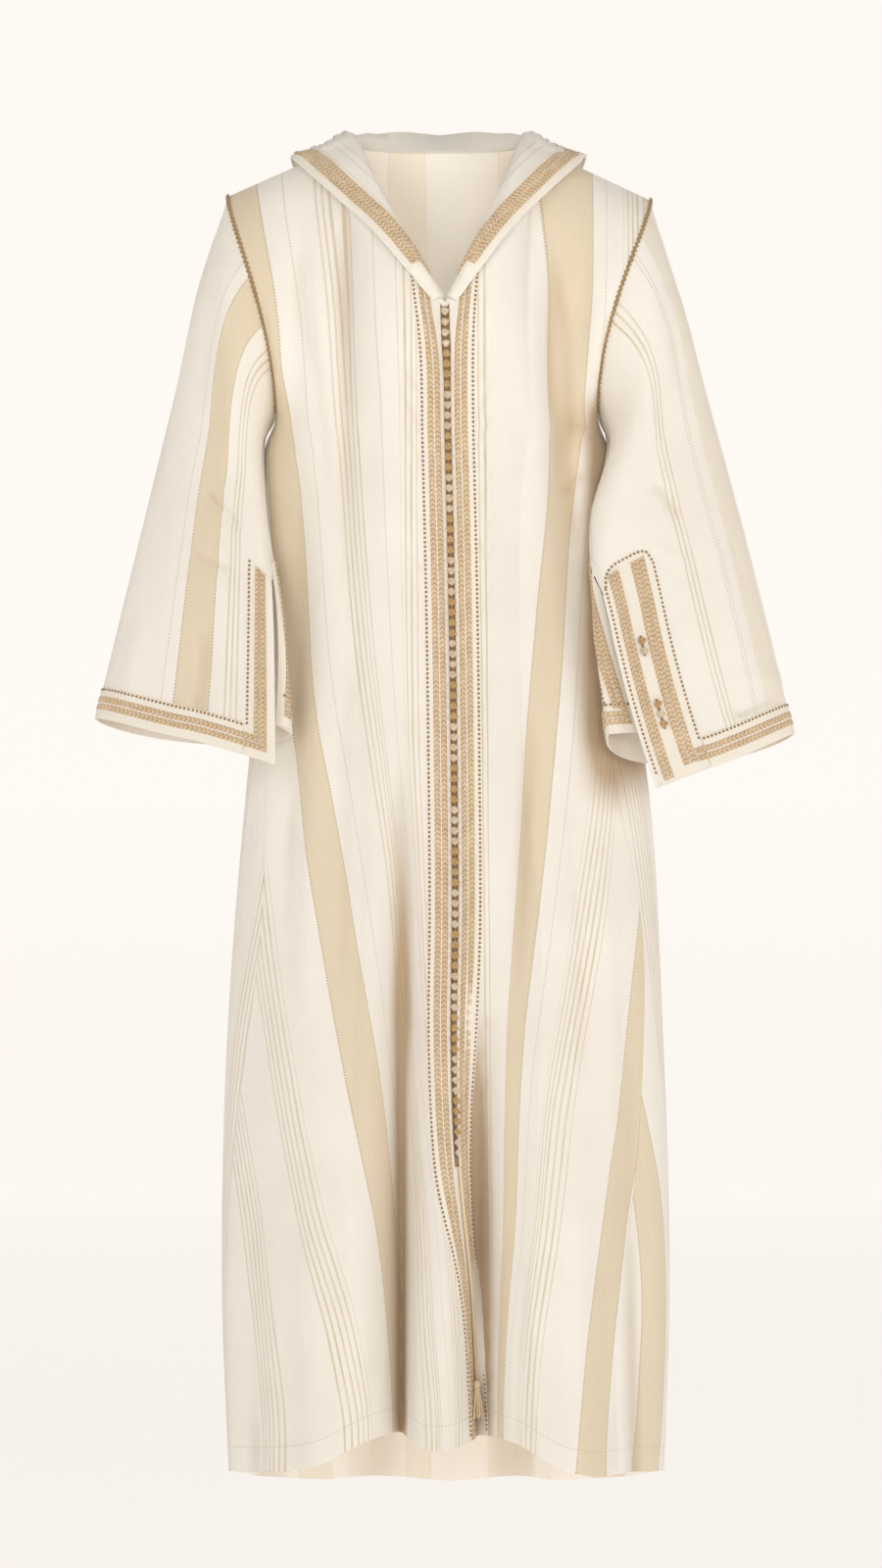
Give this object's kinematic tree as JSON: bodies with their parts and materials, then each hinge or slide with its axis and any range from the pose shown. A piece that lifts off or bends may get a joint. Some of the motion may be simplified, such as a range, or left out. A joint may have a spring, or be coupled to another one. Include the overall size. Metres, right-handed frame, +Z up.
{
  "type": "djellaba robe",
  "caption": "Long hooded djellaba robe in striped cotton, with wide slit sleeves, a V neck and a knotted, braid-edged front opening, held open as worn.",
  "frame": {"origin": "middle of the neck at the level of the shoulder seams, where the wearer's shoulders hold the robe", "axes": "+Z up, the front looks along -Y, +X to the right of someone facing the robe"},
  "size_m": [0.744, 0.297, 1.4498],
  "materials": {
    "striped_cotton": "matt woven cotton, cream and beige stripes with fine gold pinstripes",
    "gold_braid": "woven gold and copper braid with a soft sheen",
    "knot_cord": "small hand-knotted buttons of cream and gold-brown cord"
  },
  "bodies": {
    "root": {"front_left": "striped_cotton", "front_right": "striped_cotton", "back": "striped_cotton", "sleeve_left": "striped_cotton", "sleeve_right": "striped_cotton", "hood": "striped_cotton", "placket_braid_left_inner": "gold_braid", "placket_braid_left_outer": "gold_braid", "placket_braid_right_inner": "gold_braid", "placket_braid_right_outer": "gold_braid", "hood_braid_inner": "gold_braid", "hood_braid_outer": "gold_braid", "cuff_braid_left_upper": "gold_braid", "cuff_braid_left_lower": "gold_braid", "cuff_braid_right_upper": "gold_braid", "cuff_braid_right_lower": "gold_braid", "slit_braid_left_edge": "gold_braid", "slit_braid_left_side": "gold_braid", "slit_braid_left_back": "gold_braid", "slit_braid_right_edge": "gold_braid", "slit_braid_right_side": "gold_braid", "slit_braid_right_back": "gold_braid", "button_knots": "knot_cord", "sleeve_buttons_upper": "knot_cord", "sleeve_buttons_lower": "knot_cord", "tassel": "gold_braid"}
  },
  "joints": []
}
